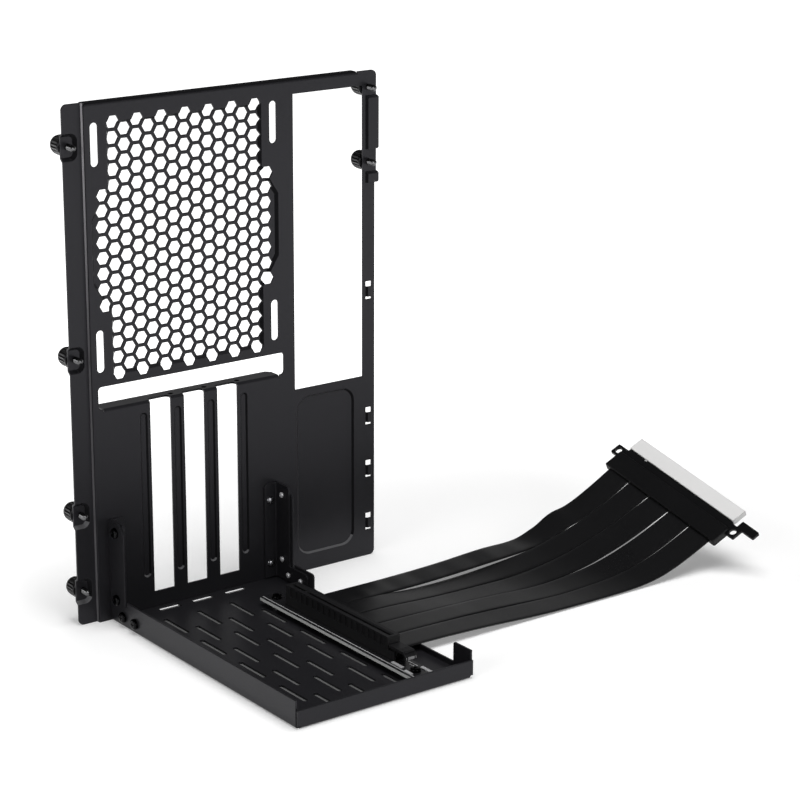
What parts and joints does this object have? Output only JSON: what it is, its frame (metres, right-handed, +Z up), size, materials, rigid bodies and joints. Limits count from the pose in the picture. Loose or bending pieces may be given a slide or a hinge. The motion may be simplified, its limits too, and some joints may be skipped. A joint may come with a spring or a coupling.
{
  "type": "riser card bracket",
  "caption": "Folded black rear panel with a fan grille and slot openings, a vented card tray with a riser socket, and a flat ribbon ending in an edge plug.",
  "frame": {"origin": "middle of the tray's underside, on the surface it rests on", "axes": "+Z up, +Y towards the rear panel, +X towards the ribbon's plug"},
  "size_m": [0.3429, 0.1854, 0.2702],
  "materials": {
    "black_sheet": "fine black powder coat",
    "black_fastener": "blackened steel",
    "spacer_metal": "turned",
    "board": "black solder resist",
    "tinned": "tinned",
    "socket_plastic": "moulded black",
    "ribbon": "satin black jacket",
    "plug_plastic": "fine textured black",
    "cap_plastic": "milky translucent"
  },
  "bodies": {
    "bracket": {"rear_panel": "black_sheet", "card_tray": "black_sheet", "left_bracket": "black_sheet", "right_bracket": "black_sheet", "panel_rivets": "black_fastener", "tray_screws": "black_fastener", "slot_board": "board", "board_spacers": "spacer_metal", "board_screws": "black_fastener", "board_pins": "tinned", "slot_housing": "socket_plastic", "ribbon_1": "ribbon", "ribbon_2": "ribbon", "ribbon_3": "ribbon", "ribbon_4": "ribbon", "ribbon_5": "ribbon", "plug_board": "board", "plug_cover_top": "plug_plastic", "plug_cover_bottom": "plug_plastic", "plug_cap": "cap_plastic"},
    "thumbscrew_left_1": {"thumbscrew_left_1": "black_fastener"},
    "thumbscrew_left_2": {"thumbscrew_left_2": "black_fastener"},
    "thumbscrew_left_3": {"thumbscrew_left_3": "black_fastener"},
    "thumbscrew_left_4": {"thumbscrew_left_4": "black_fastener"},
    "thumbscrew_right_1": {"thumbscrew_right_1": "black_fastener"},
    "thumbscrew_right_2": {"thumbscrew_right_2": "black_fastener"},
    "slot_latch": {"slot_latch": "socket_plastic"}
  },
  "joints": [
    {"name": "thumbscrew_left_1_turn", "type": "hinge", "parent": "bracket", "child": "thumbscrew_left_1", "pos_m": [-0.0658, 0.0862, 0.2489], "axis": [0, -1, 0], "continuous": true},
    {"name": "thumbscrew_left_2_turn", "type": "hinge", "parent": "bracket", "child": "thumbscrew_left_2", "pos_m": [-0.0658, 0.0862, 0.1412], "axis": [0, -1, 0], "continuous": true},
    {"name": "thumbscrew_left_3_turn", "type": "hinge", "parent": "bracket", "child": "thumbscrew_left_3", "pos_m": [-0.0658, 0.0862, 0.059], "axis": [0, -1, 0], "continuous": true},
    {"name": "thumbscrew_left_4_turn", "type": "hinge", "parent": "bracket", "child": "thumbscrew_left_4", "pos_m": [-0.0658, 0.0862, 0.0182], "axis": [0, -1, 0], "continuous": true},
    {"name": "thumbscrew_right_1_turn", "type": "hinge", "parent": "bracket", "child": "thumbscrew_right_1", "pos_m": [0.1119, 0.0818, 0.2614], "axis": [0, -1, 0], "continuous": true},
    {"name": "thumbscrew_right_2_turn", "type": "hinge", "parent": "bracket", "child": "thumbscrew_right_2", "pos_m": [0.1119, 0.0818, 0.2217], "axis": [0, -1, 0], "continuous": true},
    {"name": "latch_hinge", "type": "hinge", "parent": "bracket", "child": "slot_latch", "pos_m": [0.02847, -0.0541, 0.0085], "axis": [1, 0, 0], "range_deg": [0, 12]}
  ]
}
